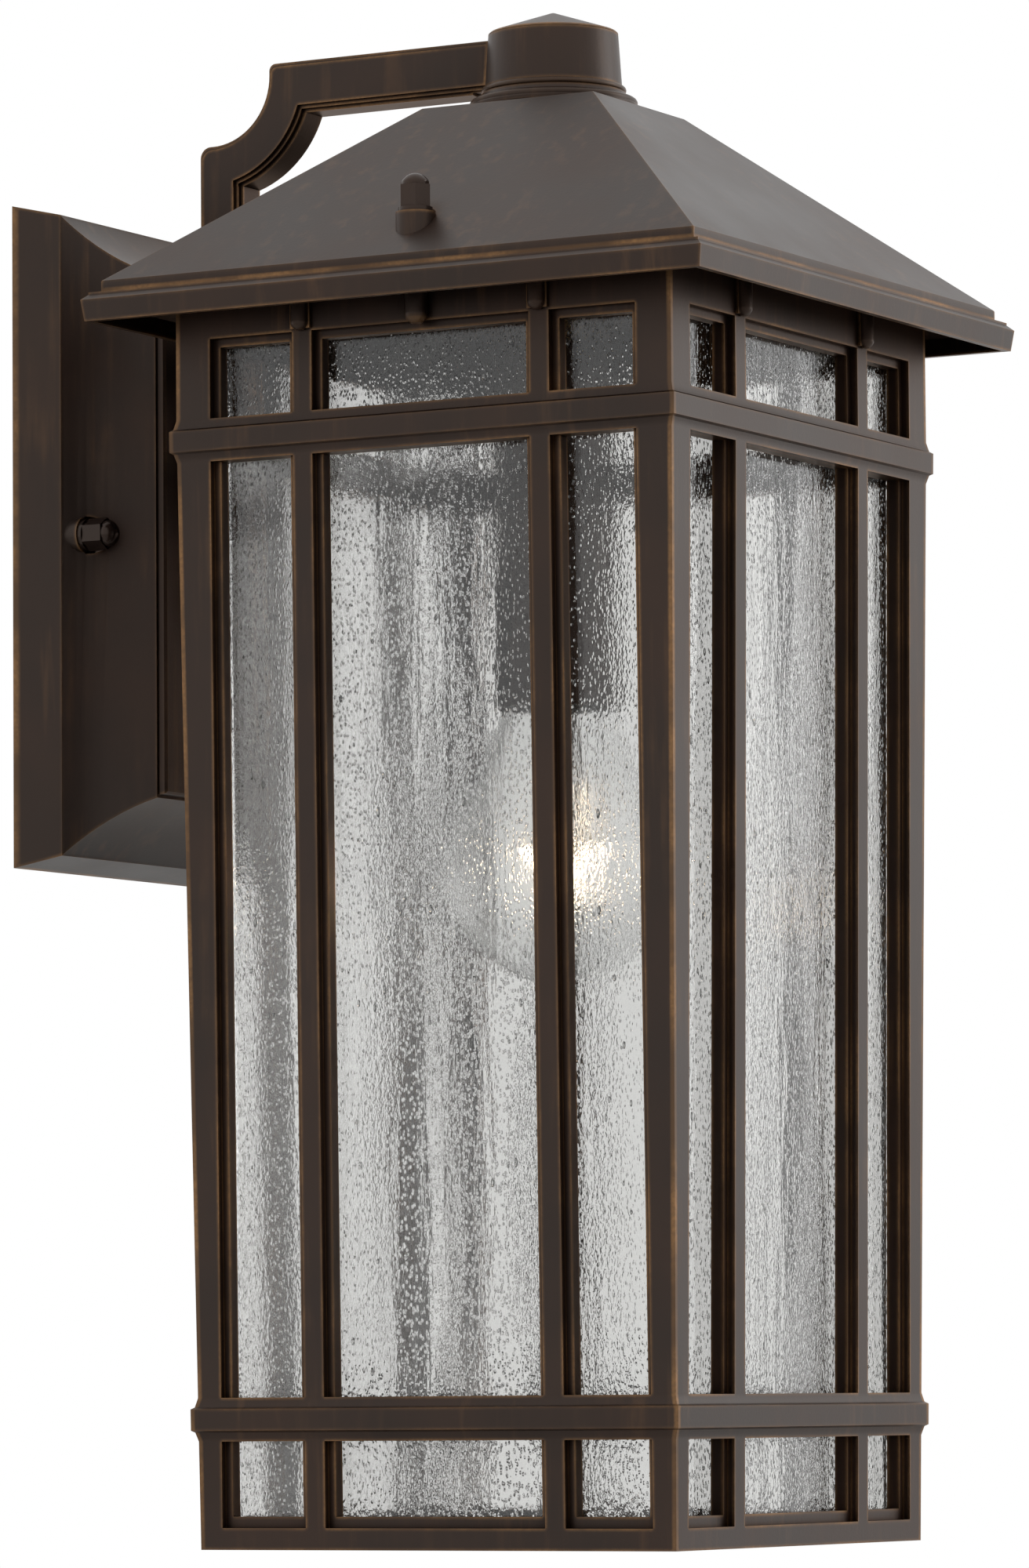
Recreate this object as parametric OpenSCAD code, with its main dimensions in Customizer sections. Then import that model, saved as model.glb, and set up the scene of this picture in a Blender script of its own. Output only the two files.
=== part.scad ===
// Outdoor wall lantern: a square glazed cage hung under a hip roof, carried by
// an arm that rises from a coved wall plate.
// Millimetres, +Z up. Origin on the wall, at the centre of the wall plate.
// The wall is the plane Y = 0 and the lantern stands out towards -Y.

/* [Wall plate] */
// Width of the wall plate
plate_w = 112; // [104:1:140]
// Height of the wall plate
plate_h = 184; // [160:1:230]
// Depth of the straight rim of the wall plate
plate_rim = 14.4; // [10:0.2:20]
// Draft of the rim, per side
plate_draft = 4; // [2:0.5:6]
// Rise of the hollow cove above the rim
cove_rise = 20.4; // [14:0.2:24]
// Inset of the hollow cove, per side
cove_inset = 15.2; // [10:0.2:20]
// Rise of the flat panel above the cove
panel_rise = 2.4; // [1:0.2:4]
// Wall thickness of the castings
casting_t = 2.4; // [1.6:0.2:4]
// Distance between the two fixing studs
stud_spacing = 94; // [90:1:100]
// Thickness of the foam gasket
gasket_t = 1.6; // [1:0.2:3]

/* [Arm] */
// Width of the arm
arm_w = 14; // [12:0.5:20]
// Thickness of the arm's upright and curve
arm_t = 11.2; // [9:0.2:13]
// Depth of the arm's top bar
bar_t = 12.5; // [11:0.5:14]
// Step of the moulding under the arm
moulding = 1.9; // [1:0.1:2.2]
// Outer radius of the arm's hollow curve
arm_sweep_r = 18.5; // [14:0.5:20]

/* [Roof] */
// Distance from the wall to the lantern's axis
reach = 141; // [137:1:160]
// Width over the eaves
eave_w = 188.6; // [178:0.2:230]
// Height of the eave's stepped fascia
fascia_h = 11.2; // [9:0.2:16]
// Height of the sloping part of the roof
roof_rise = 50.5; // [40:0.5:60]
// Width of the flat top of the roof
roof_top_w = 53; // [48:1:60]

/* [Cap] */
// Radius of the drum at its top
drum_r = 17.9; // [16:0.1:22]
// Height of the drum up to its lid
drum_h = 14.6; // [13:0.2:22]
// Rise of the lid's cone
lid_rise = 6.4; // [3:0.2:9]
// Radius of the collar under the drum
collar_r = 23.1; // [21.5:0.1:25]
// Height of the collar
collar_h = 7.1; // [6:0.1:9]

/* [Cage] */
// Distance from the centre of the wall plate down to the foot of the cage
hang = 278.2; // [270:0.2:300]
// Width of the cage at its foot
cage_foot_w = 143.4; // [130:0.2:160]
// Width of the cage at the top of its windows
cage_head_w = 151.2; // [140:0.2:166]
// Height of the cage from its foot up to the underside of the eave
cage_h = 329.8; // [300:0.2:340]
// Depth of the frames, from the outer face to the glass
frame_t = 6; // [5:0.2:7]
// Width of each glazing bar
bar_w = 6; // [4:0.5:8]
// Distance from the middle of a side to the middle of a glazing bar
bar_at = 36.2; // [28:0.2:44]
// Half width of the glazed part of a side
glazed_half = 65; // [56:0.5:66]
// Width of the bead round each window
bead_w = 2; // [1:0.1:2.6]
// Depth of the bead below the face of the frame
bead_drop = 2.3; // [1:0.1:3]
// How far the two projecting bands stand out
band_out = 1.5; // [0.8:0.1:2.5]
// Thickness of the glass
glass_t = 2.3; // [2:0.1:3]

/* [Light source] */
// Radius of the bulb
bulb_r = 30; // [24:0.5:34]
// Height of the centre of the bulb's globe above the foot of the cage
bulb_at = 182; // [170:1:190]
// Radius of the sleeve over the lampholder
sleeve_r = 17; // [16.6:0.1:20]
// Length of the sleeve over the lampholder
sleeve_h = 100; // [90:1:104]

/* [Fasteners] */
// Radius of the cage studs and the plate studs
stud_r = 2.05; // [1.9:0.05:2.4]
// Running clearance of a nut on its stud
nut_clear = 0.05; // [0.02:0.01:0.1]
// Width of a cap nut across its flats
nut_flats = 7.8; // [7:0.1:9]
// Height of a cap nut's six-sided part
nut_hex_h = 6; // [5:0.2:8]

/* [Hidden] */

$fn = 48;
far = 400;             // longer than any cut has to be
seat = 0.3;            // gap between pieces that only rest near each other
bronze = [0.20, 0.16, 0.14];
brass = [0.72, 0.58, 0.32];
steel = [0.70, 0.70, 0.68];

// Levels, measured from the foot of the cage
eave_z = cage_h;
slope_z = eave_z + fascia_h;
top_z = slope_z + roof_rise;
drum_z = top_z + collar_h;
lid_z = drum_z + drum_h;
arm_top_z = drum_z + 14;
band_high_z = eave_z - 32.2;
band_low_z = 34.6;
band_half = 5.8;       // half height of a band with its mouldings
frame_top_z = eave_z + 14;
window_head_z = eave_z - 4.8;
window_foot_z = 5.8;

// Half widths of the cage: a straight taper up to the head, then upright
head_z = band_high_z + band_half - 0.5;
function cage_half(z) = cage_foot_w / 2 + (cage_head_w - cage_foot_w) / 2 * min(z, head_z) / head_z;
function glass_half(z) = cage_foot_w / 2 - frame_t + (cage_head_w - cage_foot_w) / 2 * z / head_z;

// Points on an arc, from one angle to another
function arc(cx, cy, r, a, b, n = 10) =
    [for (i = [0:n]) [cx + r * cos(a + (b - a) * i / n), cy + r * sin(a + (b - a) * i / n)]];
// A profile of [half width, height] points, closed by its mirror image
function both_sides(p) = concat(p, [for (i = [len(p) - 1:-1:0]) [-p[i][0], p[i][1]]]);

// Moves a child from the foot of the lantern's axis to its place in front of the wall
module on_axis() { translate([0, -reach, -hang]) children(); }

// A square body on the Z axis, whose half width follows a profile of [half width, height]
module square_body(profile) {
    span = 2 * far;
    intersection() {
        rotate([90, 0, 0]) linear_extrude(span, center = true) polygon(both_sides(profile));
        rotate([90, 0, 90]) linear_extrude(span, center = true) polygon(both_sides(profile));
    }
}

// A rectangular body that stands out from the wall; profile holds [inset, depth]
module plate_body(profile, w, h) {
    intersection() {
        linear_extrude(h + 2, center = true)
            polygon(both_sides([for (p = profile) [w / 2 - p[0], -p[1]]]));
        rotate([90, 0, 90]) linear_extrude(w + 2, center = true)
            polygon(concat([for (p = profile) [-p[1], h / 2 - p[0]]],
                           [for (i = [len(profile) - 1:-1:0]) [-profile[i][1], -h / 2 + profile[i][0]]]));
    }
}

// A round bar between two points
module rod(a, b, r) {
    v = b - a;
    length = norm(v);
    translate(a) rotate([0, acos(v[2] / length), atan2(v[1], v[0])]) cylinder(h = length, r = r);
}

// A hexagon whose flats are a given distance apart
module hex(flats, h) { rotate([0, 0, 30]) cylinder(h = h, r = flats / 2 / cos(30), $fn = 6); }

// A cap nut with a domed end, standing on the plane Z = 0 with its bore closed
module cap_nut() {
    dome_r = nut_flats / 2 - 0.2;
    difference() {
        union() {
            hex(nut_flats, nut_hex_h);
            cylinder(h = nut_hex_h + 0.6, r = dome_r);
            intersection() {
                translate([0, 0, nut_hex_h - 0.8]) sphere(r = dome_r + 0.4);
                translate([0, 0, nut_hex_h]) cylinder(h = 2 * dome_r, r = dome_r);
            }
        }
        translate([0, 0, -1]) cylinder(h = nut_hex_h + 1, r = stud_r + nut_clear);
    }
}

module washer(outer_r, t) {
    difference() {
        cylinder(h = t, r = outer_r);
        translate([0, 0, -1]) cylinder(h = t + 2, r = stud_r + nut_clear);
    }
}

module plain_nut(flats, h, bore_r) {
    difference() {
        hex(flats, h);
        translate([0, 0, -1]) cylinder(h = h + 2, r = bore_r);
    }
}

// Turns a child that stands on Z = 0 so that it stands out from the wall
module out_of_wall(x, y, z) { translate([x, y, z]) rotate([90, 0, 0]) children(); }

// ---- Wall mounting ----

strap_t = 1.6;
strap_w = 16;
box_screw_spacing = 88.9;
washer_t = 1.2;
wall_seat_depth = plate_rim + 3.8;   // where the cap nuts seat on the cove
seat_r = 4.9;

module box_strap() {
    color(steel) difference() {
        translate([-strap_w / 2, -strap_t, -52]) cube([strap_w, strap_t, 104]);
        for (s = [-1, 1])
            out_of_wall(0, 1, s * box_screw_spacing / 2) cylinder(h = strap_t + 2, r = 2.4);
        out_of_wall(0, 1, 0) cylinder(h = strap_t + 2, r = 2.5);
    }
}

module stud_strap() {
    color(steel) difference() {
        translate([-stud_spacing / 2 - 4.5, -2 * strap_t, -strap_w / 2])
            cube([stud_spacing + 9, strap_t, strap_w]);
        for (x = [-stud_spacing / 2, stud_spacing / 2])
            out_of_wall(x, 1, 0) cylinder(h = 2 * strap_t + 2, r = stud_r + nut_clear);
        out_of_wall(0, 1, 0) cylinder(h = 2 * strap_t + 2, r = 2.5);
        out_of_wall(ground_x, 1, 0) cylinder(h = 2 * strap_t + 2, r = 2.1);
    }
}

module strap_rivet() {
    color(steel) {
        out_of_wall(0, 0, 0) cylinder(h = 2 * strap_t, r = 2.45);
        out_of_wall(0, -2 * strap_t, 0) cylinder(h = 1.4, r1 = 4.5, r2 = 3.2);
    }
}

ground_x = 20;         // where the ground screw stands
module ground_screw() {
    color([0.15, 0.45, 0.25]) {
        out_of_wall(ground_x, -strap_t, 0) cylinder(h = strap_t, r = 2.05);
        out_of_wall(ground_x, -2 * strap_t, 0) cylinder(h = 0.8, r = 3.4);
        difference() {
            out_of_wall(ground_x, -2 * strap_t - 0.8, 0) hex(6.4, 2.6);
            translate([ground_x, -2 * strap_t - 3, 0]) cube([8, 1.4, 0.9], center = true);
        }
    }
}

plate_lip = 1;         // thickness of the plate's edge round the gasket
stud_lock_t = 2.6;
module plate_studs() {
    tip = wall_seat_depth + washer_t + nut_hex_h - 1.2;
    color(brass)
        for (x = [-stud_spacing / 2, stud_spacing / 2])
            out_of_wall(x, -strap_t - 0.1, 0) cylinder(h = tip - strap_t, r = stud_r);
}

module stud_lock_nuts() {
    color(steel)
        for (x = [-stud_spacing / 2, stud_spacing / 2])
            out_of_wall(x, -2 * strap_t, 0) plain_nut(7, stud_lock_t, stud_r + nut_clear);
}

module wall_gasket() {
    rim = 4;
    edge = plate_lip + 0.2;
    color([0.12, 0.12, 0.12]) difference() {
        translate([-plate_w / 2 + edge, -gasket_t, -plate_h / 2 + edge])
            cube([plate_w - 2 * edge, gasket_t, plate_h - 2 * edge]);
        translate([-plate_w / 2 + rim, -gasket_t - 1, -plate_h / 2 + rim])
            cube([plate_w - 2 * rim, gasket_t + 2, plate_h - 2 * rim]);
    }
}

// ---- Wall plate ----

panel_depth = plate_rim + cove_rise + panel_rise;
panel_inset = plate_draft + cove_inset + 0.9;
// The cove is a hollow quarter: flat at the rim and steep at the panel
cove_start = 38;
cove_end = 76;
cove_chord = norm([cove_inset, cove_rise]);
cove_lean = atan2(cove_rise, cove_inset);
cove_turn = cove_end - cove_start;
cove_r = cove_chord / 2 / sin(cove_turn / 2);
cove_from = cove_lean - cove_turn / 2;
plate_face = concat(
    [[0, 0.2], [plate_draft - 0.9, plate_rim - 0.4], [plate_draft, plate_rim]],
    [for (i = [1:8])
        let (a = cove_from + cove_turn * i / 8)
        [plate_draft + cove_r * (sin(a) - sin(cove_from)),
         plate_rim + cove_r * (cos(cove_from) - cos(a))]],
    [[plate_draft + cove_inset + 0.9, panel_depth - panel_rise + 0.2],
     [panel_inset + 0.2, panel_depth - 0.7], [panel_inset + 0.9, panel_depth]]);
plate_inside = [for (p = plate_face) [p[0] + casting_t, p[1] - casting_t]];
wire_slot_w = 9;
wire_slot_low = 24;   // the wire slot, above the plate's centre
wire_slot_high = 62;
foot_screw_z = [-13, 9];

module wall_plate() {
    hollow = concat([[casting_t, -1]], [for (i = [1:len(plate_inside) - 1]) plate_inside[i]]);
    color(bronze) difference() {
        union() {
            difference() {
                plate_body(plate_face, plate_w, plate_h);
                plate_body(hollow, plate_w, plate_h);
                // the step that the gasket lies in
                translate([-plate_w / 2 + plate_lip, -gasket_t, -plate_h / 2 + plate_lip])
                    cube([plate_w - 2 * plate_lip, gasket_t + 1, plate_h - 2 * plate_lip]);
                // room for the nut, its washer and its seat
                for (x = [-stud_spacing / 2, stud_spacing / 2])
                    out_of_wall(x, -wall_seat_depth, 0) cylinder(h = far / 4, r = seat_r + 0.3);
            }
            // seats for the cap nuts
            for (x = [-stud_spacing / 2, stud_spacing / 2])
                out_of_wall(x, -wall_seat_depth + 5.4, 0) cylinder(h = 5.4, r = seat_r);
            // pads behind the panel that take the arm's screws
            for (z = foot_screw_z)
                out_of_wall(0, -panel_depth + casting_t + 2.4, z) cylinder(h = 2.6, r = 6);
        }
        for (x = [-stud_spacing / 2, stud_spacing / 2])
            out_of_wall(x, 1, 0) cylinder(h = panel_depth + 10, r = stud_r + 0.3);
        for (z = foot_screw_z)
            out_of_wall(0, 1, z) cylinder(h = panel_depth + 10, r = 2.3);
        translate([-wire_slot_w / 2, -panel_depth - 5, wire_slot_low])
            cube([wire_slot_w, panel_depth, wire_slot_high - wire_slot_low]);
    }
}

module wall_washer(x) {
    color(bronze) out_of_wall(x, -wall_seat_depth, 0) washer(4.4, washer_t);
}

module wall_nut(x) {
    color(bronze) out_of_wall(x, -wall_seat_depth - washer_t, 0) cap_nut();
}

// ---- Arm ----

// The outline is drawn in Y and Z; the arm's back stands clear of the cove
arm_back = -30.9;
sweep_y = arm_back - 4.1;
sweep_z = arm_top_z - hang - 3.2;
bar_end_y = -reach + drum_r - 2;
nipple_y = -reach + drum_r + 9.75;   // the nipple's end inside the arm
foot_low = -22;
foot_back = -panel_depth;
notch_z = plate_h / 2 - 14.4;

// The arm's side view, grown downwards and inwards by g, and shrunk outside by s
module arm_outline(g = 0, s = 0) {
    shelf_z = sweep_z - arm_sweep_r;
    difference() {
        union() {
            translate([arm_back - arm_t - g, foot_low + s])
                square([arm_t + g - s, shelf_z - foot_low - 2 * s]);
            intersection() {
                translate([sweep_y, sweep_z]) difference() {
                    circle(r = arm_sweep_r + arm_t + g, $fn = 96);
                    circle(r = arm_sweep_r + s, $fn = 96);
                }
                translate([sweep_y - 60, sweep_z - 60]) square([60, 60]);
            }
            translate([bar_end_y, arm_top_z - hang - bar_t - g])
                square([sweep_y - arm_sweep_r - s - bar_end_y, bar_t + g - s]);
        }
        // clear of the cove and seated on the plate's panel
        translate([foot_back, foot_low - 1]) square([60, notch_z - foot_low + 1]);
        // round the heel of the upright and the corner of the bar
        translate([arm_back - s, shelf_z - s]) corner_cut(3.2);
        translate([sweep_y - arm_sweep_r - s, arm_top_z - hang - s]) corner_cut(2);
        translate([foot_back - 10 - g, foot_low + s]) rotate(180) corner_cut(4);
    }
}

// What rounding removes from a convex corner at the origin, whose solid lies at -x, -y
module corner_cut(r) {
    difference() {
        translate([-r, -r]) square([r + 1, r + 1]);
        translate([-r, -r]) circle(r = r, $fn = 48);
    }
}

// The hollow that the wires run in
module arm_wireway() {
    wall = 2.5;
    shelf_z = sweep_z - arm_sweep_r;
    translate([arm_back - arm_t + wall, notch_z - 2])
        square([arm_t - 2 * wall, shelf_z - wall - 2.2 - notch_z]);
    // behind the foot the hollow is a groove that faces the plate
    translate([foot_back - 3.9, wire_slot_low]) square([3.9 + 1, notch_z + 4 - wire_slot_low]);
    intersection() {
        translate([sweep_y, sweep_z]) difference() {
            circle(r = arm_sweep_r + arm_t - wall, $fn = 96);
            circle(r = arm_sweep_r + wall, $fn = 96);
        }
        translate([sweep_y - 60, sweep_z - 60]) square([60, 60]);
    }
    translate([nipple_y, arm_top_z - hang - bar_t + wall])
        square([sweep_y - arm_sweep_r - wall - nipple_y, bar_t - 2 * wall]);
}

module in_side_view(w) { rotate([90, 0, 90]) linear_extrude(w, center = true) children(); }

nipple_z = arm_top_z - hang - bar_t / 2;
module arm() {
    edge = 1.1;
    fit = 0.12;
    color(bronze) difference() {
        union() {
            in_side_view(arm_w) arm_outline(0, edge);
            in_side_view(arm_w - 2 * edge) arm_outline(0, 0);
            in_side_view(arm_w - 2.4) arm_outline(moulding / 2, edge);
            in_side_view(arm_w - 5) arm_outline(moulding, edge);
        }
        in_side_view(7) arm_wireway();
        // the end is cut to the drum, whose wall the nipple passes through
        translate([0, -reach, drum_z - hang]) {
            cylinder(h = 0.8, r = drum_foot_r + fit, $fn = 96);
            translate([0, 0, 0.8])
                cylinder(h = drum_h - 0.8, r1 = drum_foot_r + fit, r2 = drum_r + fit, $fn = 96);
        }
        translate([0, -reach, drum_z - hang + 0.25 - far]) cylinder(h = far, r = collar_r + 0.3, $fn = 96);
        out_of_wall(0, nipple_y + 5, nipple_z) cylinder(h = 40, r = 4.1);
        for (z = foot_screw_z)
            out_of_wall(0, foot_back + 1, z) cylinder(h = 6, r = 1.75);
    }
}

module arm_screws() {
    head_y = -panel_depth + casting_t + 2.4;
    color(steel) for (z = foot_screw_z) difference() {
        union() {
            out_of_wall(0, head_y, z) cylinder(h = 4.8 + 4.3, r = 1.72);
            out_of_wall(0, head_y + 2.4, z) cylinder(h = 2.4, r1 = 2.6, r2 = 3.6);
        }
        translate([0, head_y + 2.4, z]) cube([8, 1.8, 0.9], center = true);
    }
}

module arm_nipple() {
    color(brass) difference() {
        out_of_wall(0, nipple_y, nipple_z) cylinder(h = 18, r = 4.05);
        out_of_wall(0, nipple_y + 1, nipple_z) cylinder(h = 20, r = 3.1);
    }
}

module arm_nipple_nut() {
    color(brass)
        out_of_wall(0, -reach + sqrt(pow(drum_r - casting_t, 2) - pow(5.3, 2)) - 0.1, nipple_z)
            rotate([0, 0, 30]) plain_nut(9, 2.4, 4.1);
}

// ---- Cap on top of the roof ----

drum_foot_r = drum_r + 0.9;
stem_r = 4.9;

module cap_drum() {
    color(bronze) on_axis() difference() {
        rotate_extrude($fn = 96) difference() {
            polygon([[stem_r + 0.1, drum_z], [drum_foot_r, drum_z], [drum_foot_r, drum_z + 0.8],
                     [drum_r, lid_z], [stem_r + 0.1, lid_z]]);
            translate([stem_r - 1, drum_z + casting_t])
                square([drum_r - casting_t - stem_r + 1, drum_h]);
        }
        translate([0, 40, nipple_z + hang]) rotate([90, 0, 0]) cylinder(h = 40, r = 4.1);
    }
}

module cap_lid() {
    lip_z = 1.6;
    hollow_r = drum_r - casting_t - 2;
    color(bronze) on_axis() rotate_extrude($fn = 96) difference() {
        // a straight cone from a crisp rim to a small blunt peak
        polygon([[0, lid_z], [drum_r, lid_z], [drum_r, lid_z + 0.3], [drum_r - 0.5, lid_z + 0.7],
                 [0.8, lid_z + lid_rise - 0.2], [0, lid_z + lid_rise]]);
        // hollow under the cone
        polygon([[0, lid_z - 1], [hollow_r, lid_z - 1], [hollow_r, lid_z + 0.2],
                 [0, lid_z + lid_rise - 2.4]]);
    }
    color(bronze) on_axis() translate([0, 0, lid_z - lip_z]) difference() {
        cylinder(h = lip_z, r = drum_r - casting_t - 0.1, $fn = 96);
        translate([0, 0, -1]) cylinder(h = lip_z + 2, r = drum_r - casting_t - 2, $fn = 96);
    }
}

module cap_collar() {
    step = collar_h / 7.1;
    color(bronze) on_axis() translate([0, 0, top_z]) rotate_extrude($fn = 96)
        polygon(concat(
            [[stem_r + 0.1, 0], [collar_r - 0.8, 0], [collar_r, 0.8 * step], [collar_r, 1.8 * step]],
            arc(collar_r - 1.1, 2.6 * step, 1.1, -30, 90, 5),
            [for (i = [1:5]) let (a = 90 * i / 5)
                [collar_r - 1.3 - 1.9 * sin(a), 5.3 * step - 1.6 * step * cos(a)]],
            [[drum_foot_r + 1, 5.3 * step]],
            arc(drum_foot_r + 0.3, 6.2 * step, 0.9 * step, -60, 90, 5),
            [[stem_r + 0.1, collar_h]]));
}

stem_top_z = drum_z + casting_t + 3.4;
sleeve_low_z = 227.2;
sleeve_top_z = sleeve_low_z + sleeve_h;
stem_low_z = sleeve_top_z - 7;
module stem_nipple() {
    color(brass) on_axis() difference() {
        translate([0, 0, stem_low_z]) cylinder(h = stem_top_z - stem_low_z, r = stem_r);
        translate([0, 0, stem_low_z - 1]) cylinder(h = stem_top_z - stem_low_z + 2, r = 3.6);
    }
}

module stem_nuts() {
    color(brass) on_axis() {
        translate([0, 0, drum_z + casting_t]) plain_nut(13, 3, stem_r + 0.05);
        translate([0, 0, top_z - casting_t - 3]) plain_nut(13, 3, stem_r + 0.05);
        translate([0, 0, sleeve_top_z]) plain_nut(13, 3, stem_r + 0.05);
        translate([0, 0, sleeve_top_z - 1.6 - 3]) plain_nut(13, 3, stem_r + 0.05);
    }
}

// ---- Roof ----

slope_half = eave_w / 2 - 4.2;
slope = roof_rise / (slope_half - roof_top_w / 2);
cage_stud_x = cage_head_w / 2 + 1.4;
boss_r = 5.3;
boss_top_z = slope_z + (slope_half - cage_stud_x) * slope + 2.5;

module roof() {
    eave = eave_w / 2;
    t = 2;
    color(bronze) on_axis() difference() {
        union() {
            difference() {
                square_body([[eave - 0.8, eave_z], [eave, eave_z + 5.8], [eave - 1.6, eave_z + 7.2],
                             [eave - 1.6, eave_z + 7.9], [eave - 4.1, eave_z + 8.2],
                             [eave - 4.1, slope_z - 0.4], [slope_half, slope_z], [roof_top_w / 2, top_z]]);
                square_body([[eave - 0.8 - t, eave_z - 1], [eave - t - 0.2, eave_z + 5],
                             [slope_half - t, slope_z - 0.6], [roof_top_w / 2 - 0.6, top_z - t - 0.4]]);
            }
            // bosses that the studs pass through, closed against the cage below
            for (s = [-1, 1])
                translate([s * cage_stud_x, 0, frame_top_z + seat])
                    cylinder(h = boss_top_z - frame_top_z - seat, r = boss_r);
        }
        translate([0, 0, top_z - 10]) cylinder(h = 20, r = stem_r + 0.15);
        for (s = [-1, 1])
            translate([s * cage_stud_x, 0, 0]) {
                translate([0, 0, eave_z]) cylinder(h = 60, r = stud_r + 0.25);
                // a flat for the washer where the slope rises past it
                translate([0, 0, boss_top_z]) cylinder(h = 20, r = boss_r + 0.2);
            }
    }
}

module roof_washer(s) {
    color(bronze) on_axis() translate([s * cage_stud_x, 0, boss_top_z]) washer(4.6, washer_t);
}

module roof_nut(s) {
    color(bronze) on_axis() translate([s * cage_stud_x, 0, boss_top_z + washer_t]) cap_nut();
}

// ---- Lampholder ----

shell_r = 13.3;       // inside radius of the screw shell
base_r = 13.1;        // outside radius of the bulb's screw base
base_low_z = bulb_at + 52;
base_h = 22;
body_low_z = sleeve_low_z + 3;
body_top_z = body_low_z + 44;

module lampholder_sleeve() {
    t = 0.8;
    color(bronze) on_axis() difference() {
        translate([0, 0, sleeve_low_z]) cylinder(h = sleeve_h, r = sleeve_r, $fn = 72);
        translate([0, 0, sleeve_low_z - 1]) cylinder(h = sleeve_h + 1 - 1.6, r = sleeve_r - t, $fn = 72);
        cylinder(h = far, r = stem_r + 0.1);
    }
}

module lampholder_body() {
    color([0.85, 0.83, 0.78]) on_axis() difference() {
        union() {
            translate([0, 0, body_low_z])
                cylinder(h = body_top_z - body_low_z, r = sleeve_r - 0.9, $fn = 72);
            translate([0, 0, body_top_z]) cylinder(h = 8, r = 9);
            translate([0, 0, body_top_z + 8]) cylinder(h = stem_low_z - body_top_z - 8, r = 6.2);
        }
        translate([0, 0, body_low_z - 1]) cylinder(h = base_h + 13.5, r = shell_r + 0.6);
        // the way for the wires
        translate([0, 0, body_top_z + 2]) cylinder(h = far, r = 3.6);
        for (s = [-1, 1])
            translate([s * 6, 0, body_low_z + 10]) cylinder(h = body_top_z - body_low_z - 7, r = 1.6);
        translate([-7.6, -1.6, body_top_z - 0.6]) cube([15.2, 3.2, 7]);
    }
}

shell_top_z = body_low_z + base_h + 12.3;
module screw_shell() {
    color(brass) on_axis() difference() {
        translate([0, 0, body_low_z + 2])
            cylinder(h = shell_top_z - body_low_z - 2, r = shell_r + 0.5, $fn = 72);
        translate([0, 0, body_low_z]) cylinder(h = shell_top_z - body_low_z - 0.6, r = shell_r, $fn = 72);
        cylinder(h = far, r = 4.5);
        translate([6, 0, 0]) cylinder(h = far, r = 1.2);
        translate([-6, 0, 0]) cylinder(h = far, r = 2.2);
    }
}

tip_top_z = base_low_z + base_h + 3.4;
module centre_contact() {
    color(brass) on_axis() {
        translate([-6.4, -1.5, tip_top_z + seat]) cube([8.8, 3, 0.6]);
        translate([-7, -1.5, tip_top_z + seat]) cube([0.8, 3, shell_top_z - tip_top_z - seat - 0.2]);
    }
}

// ---- Wires that the lantern holds all the way ----

// A smooth curve through a list of points
function smooth(p, n = 4) = concat(
    [for (i = [0:len(p) - 2]) for (k = [0:n - 1])
        let (t = k / n, a = p[max(i - 1, 0)], b = p[i], c = p[i + 1], d = p[min(i + 2, len(p) - 1)])
        0.5 * (2 * b + (c - a) * t + (2 * a - 5 * b + 4 * c - d) * t * t
               + (3 * b - a - 3 * c + d) * t * t * t)],
    [p[len(p) - 1]]);

// A wire swept along a curve that never runs along X
module wire(points, r, sides = 8) {
    n = len(points);
    rings = [for (i = [0:n - 1])
        let (ahead = points[min(i + 1, n - 1)] - points[max(i - 1, 0)], t = ahead / norm(ahead),
             u0 = [1, 0, 0] - t[0] * t, u = u0 / norm(u0), v = cross(t, u))
        for (k = [0:sides - 1])
            points[i] + r * (cos(360 * k / sides) * u + sin(360 * k / sides) * v)];
    polyhedron(rings, concat(
        [[for (k = [sides - 1:-1:0]) k]],
        [for (i = [0:n - 2]) for (k = [0:sides - 1])
            [i * sides + k, i * sides + (k + 1) % sides,
             (i + 1) * sides + (k + 1) % sides, (i + 1) * sides + k]],
        [[for (k = [0:sides - 1]) (n - 1) * sides + k]]));
}

lead_r = 1.05;
wireway_y = arm_back - arm_t / 2;
sweep_mid = arm_sweep_r + arm_t / 2;
// The middle of the wireway, from the back of the plate to the cap, in Y and Z
function lead_route() = [
    [-14, 40], [-28, 41], [foot_back - 1.4, 56], [foot_back - 1.7, notch_z - 8],
    [wireway_y, notch_z + 9], [wireway_y, sweep_z - sweep_mid - 1],
    [sweep_y - sweep_mid * sin(28), sweep_z - sweep_mid * cos(28)],
    [sweep_y - sweep_mid * sin(58), sweep_z - sweep_mid * cos(58)],
    [sweep_y - sweep_mid - 5, nipple_z], [-reach + 26, nipple_z], [-reach + 6, nipple_z + 0.6],
    [-reach + 1.2, nipple_z - 1.4], [-reach, nipple_z - 8]];
function lead_at(x) = [for (p = lead_route()) [x, p[0], p[1]]];

module supply_leads() {
    color([0.9, 0.9, 0.88]) for (s = [-1, 1])
        wire(smooth(concat(lead_at(s * 1.3),
                    [[s * 1.3, -reach, (nipple_z + body_top_z - hang) / 2],
                     [s * 1.3, -reach, body_top_z + 9 - hang], [s * 2.2, -reach, body_top_z + 4.4 - hang],
                     [s * 5, -reach, body_top_z + 2.2 - hang], [s * 6, -reach, body_top_z - 3 - hang],
                     [s * 6, -reach, shell_top_z + 0.4 - hang]])), lead_r);
}

module earth_lead() {
    color([0.72, 0.45, 0.2])
        wire(smooth([[ground_x, -2 * strap_t - 4, 0], [ground_x, -10, 3], [ground_x - 1, -16, 12],
                     [ground_x - 7, -21, 26]]), 0.8);
}

// ---- Bulb ----

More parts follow.
